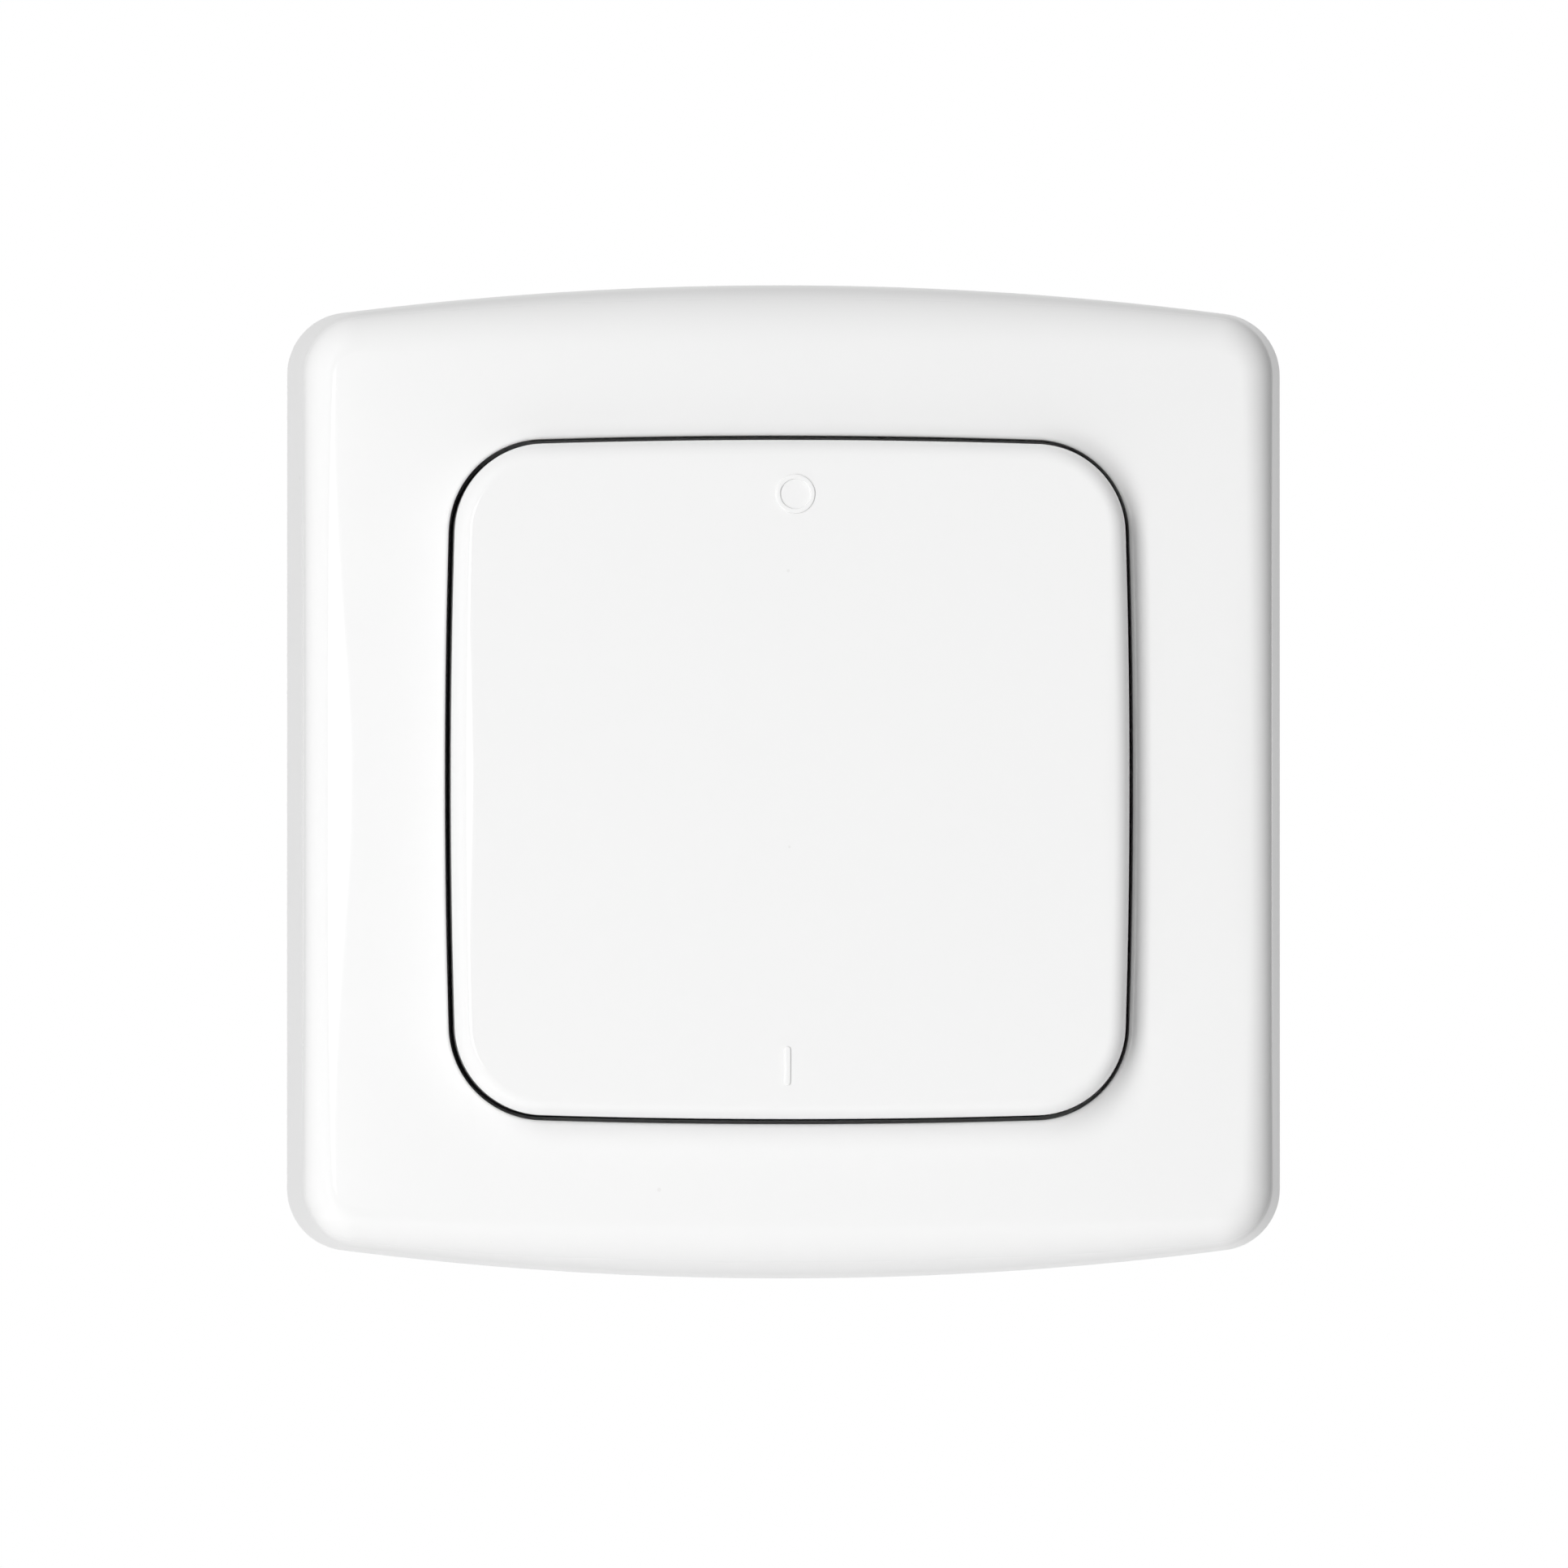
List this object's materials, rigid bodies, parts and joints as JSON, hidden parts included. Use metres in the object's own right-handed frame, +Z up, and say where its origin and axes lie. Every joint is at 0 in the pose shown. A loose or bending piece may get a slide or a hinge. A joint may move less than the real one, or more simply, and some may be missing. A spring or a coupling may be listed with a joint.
{
  "type": "wireless remote wall switch",
  "caption": "Square white wall-mounted radio switch: a glossy frame with bowed top and bottom edges around a wide rocker that tilts to press its on or off contact.",
  "frame": {"origin": "centre of the wall plate's back face, where it lies on the wall", "axes": "+X to the right seen from the front, +Y into the wall so that the rocker faces -Y, +Z up the wall"},
  "size_m": [0.08, 0.015, 0.08],
  "materials": {
    "frame_plastic": "glossy white moulding",
    "rocker_plastic": "glossy white moulding",
    "plate_plastic": "fine matt white moulding",
    "case_plastic": "fine matt dark grey moulding",
    "black_plastic": "matt black moulding",
    "board_laminate": "satin green solder mask",
    "screw_steel": "zinc plated",
    "switch_steel": "bright rolled sheet",
    "cell_steel": "nickel plated",
    "contact_metal": "nickel plated spring strip",
    "chip_plastic": "matt moulded package",
    "resonator_metal": "gilded lid on a ceramic base",
    "resistor_ceramic": "dark glazed ceramic",
    "capacitor_ceramic": "tan ceramic",
    "antenna_wire": "tinned wire"
  },
  "bodies": {
    "housing": {"wall_plate": "plate_plastic", "cover_frame": "frame_plastic", "transmitter_base": "case_plastic", "transmitter_cover": "case_plastic", "transmitter_screws": "screw_steel", "circuit_board": "board_laminate", "battery_holder": "black_plastic", "battery_side_contact": "contact_metal", "battery_floor_contact": "contact_metal", "coin_cell": "cell_steel", "encoder_chip": "chip_plastic", "resonator": "resonator_metal", "transmit_transistor": "chip_plastic", "chip_resistors": "resistor_ceramic", "chip_capacitors": "capacitor_ceramic", "antenna_loop": "antenna_wire", "off_switch_base": "black_plastic", "off_switch_plate": "switch_steel", "off_switch_dome": "switch_steel", "on_switch_base": "black_plastic", "on_switch_plate": "switch_steel", "on_switch_dome": "switch_steel"},
    "rocker": {"rocker": "rocker_plastic"},
    "off_plunger": {"off_switch_plunger": "black_plastic"},
    "on_plunger": {"on_switch_plunger": "black_plastic"}
  },
  "joints": [
    {"name": "rocker_tilt", "type": "hinge", "parent": "housing", "child": "rocker", "pos_m": [0, -0.009, 0], "axis": [1, 0, 0], "range_deg": [-0.9, 0.9], "stiffness_Nm_per_rad": 2},
    {"name": "off_plunger_press", "type": "slide", "parent": "housing", "child": "off_plunger", "axis": [0, 1, 0], "range_m": [-0.00026, 0.00026], "deforming": ["off_switch_dome"]},
    {"name": "on_plunger_press", "type": "slide", "parent": "housing", "child": "on_plunger", "axis": [0, 1, 0], "range_m": [-0.00026, 0.00026], "deforming": ["on_switch_dome"]}
  ],
  "couplings": [
    {"joint": "off_plunger_press", "follows": "rocker_tilt", "m_per_rad": -0.016},
    {"joint": "on_plunger_press", "follows": "rocker_tilt", "m_per_rad": 0.016}
  ]
}
